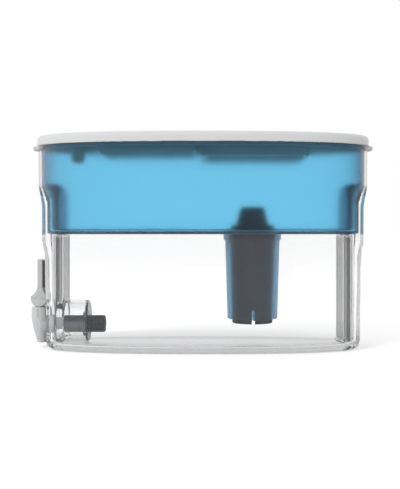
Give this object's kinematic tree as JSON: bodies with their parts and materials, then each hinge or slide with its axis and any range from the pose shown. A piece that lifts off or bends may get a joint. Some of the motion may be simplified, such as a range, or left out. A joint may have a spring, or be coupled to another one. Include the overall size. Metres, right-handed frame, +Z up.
{
  "type": "gravity water filter with tap",
  "caption": "Oval gravity water filter: clear tank, nested blue reservoir with a hanging cartridge, white lid with a fill flap, lever tap at one end.",
  "frame": {"origin": "centre of the tank's flat base, on the surface it stands on", "axes": "+X along the length away from the tap, +Y across the depth, +Z up; the tap faces -X"},
  "size_m": [0.3917, 0.15, 0.245],
  "materials": {
    "clear_plastic": "clear, polished",
    "blue_plastic": "blue, frosted translucent",
    "white_plastic": "satin white",
    "tap_plastic": "satin light grey",
    "dark_plastic": "dark grey, moulded",
    "cartridge_plastic": "dark grey, moulded",
    "soft_seal": "soft rubber",
    "mesh": "woven mesh",
    "granules": "granular bed",
    "steel": "stainless"
  },
  "bodies": {
    "tank": {"tank": "clear_plastic", "tap_body": "tap_plastic", "tap_bonnet": "tap_plastic", "lever_pin": "steel", "return_spring": "steel", "tap_shank": "dark_plastic", "shank_seal": "soft_seal", "shank_gasket": "soft_seal", "nut_washer": "dark_plastic", "lock_nut": "dark_plastic", "inlet_strainer": "steel"},
    "reservoir": {"reservoir": "blue_plastic"},
    "cartridge": {"cartridge_body": "cartridge_plastic", "cartridge_cap": "cartridge_plastic", "cartridge_seal": "soft_seal", "cap_screen": "mesh", "outlet_screen": "mesh", "filter_media": "granules"},
    "lid": {"lid": "white_plastic", "fill_door_pin": "steel"},
    "fill_door": {"fill_door": "white_plastic"},
    "change_dial": {"change_dial": "white_plastic", "dial_clip": "dark_plastic"},
    "tap_lever": {"tap_lever": "tap_plastic"},
    "valve": {"valve_stem": "steel", "valve_seal": "soft_seal"}
  },
  "joints": [
    {"name": "reservoir_lift", "type": "slide", "parent": "tank", "child": "reservoir", "axis": [0, 0, 1], "range_m": [0, 0.21]},
    {"name": "lid_lift", "type": "slide", "parent": "reservoir", "child": "lid", "axis": [0, 0, 1], "range_m": [0, 0.28]},
    {"name": "cartridge_lift", "type": "slide", "parent": "reservoir", "child": "cartridge", "axis": [0, 0, 1], "range_m": [0, 0.211]},
    {"name": "fill_door_swing", "type": "hinge", "parent": "lid", "child": "fill_door", "pos_m": [-0.003, 0, 0.2406], "axis": [0, -1, 0], "range_deg": [0, 105]},
    {"name": "change_dial_turn", "type": "hinge", "parent": "lid", "child": "change_dial", "pos_m": [-0.1432, 0, 0.24], "axis": [0, 0, 1], "continuous": true},
    {"name": "tap_lever_tip", "type": "hinge", "parent": "tank", "child": "tap_lever", "pos_m": [-0.1872, 0, 0.0563], "axis": [0, -1, 0], "range_deg": [0, 35], "stiffness_Nm_per_rad": 0.15, "springref_deg": -11.46},
    {"name": "valve_lift", "type": "slide", "parent": "tank", "child": "valve", "axis": [0, 0, 1], "range_m": [0, 0.0034], "deforming": ["return_spring"]}
  ],
  "couplings": [
    {"joint": "cartridge_lift", "follows": "lid_lift", "ratio": 0.75},
    {"joint": "valve_lift", "follows": "tap_lever_tip", "m_per_rad": 0.00545}
  ]
}
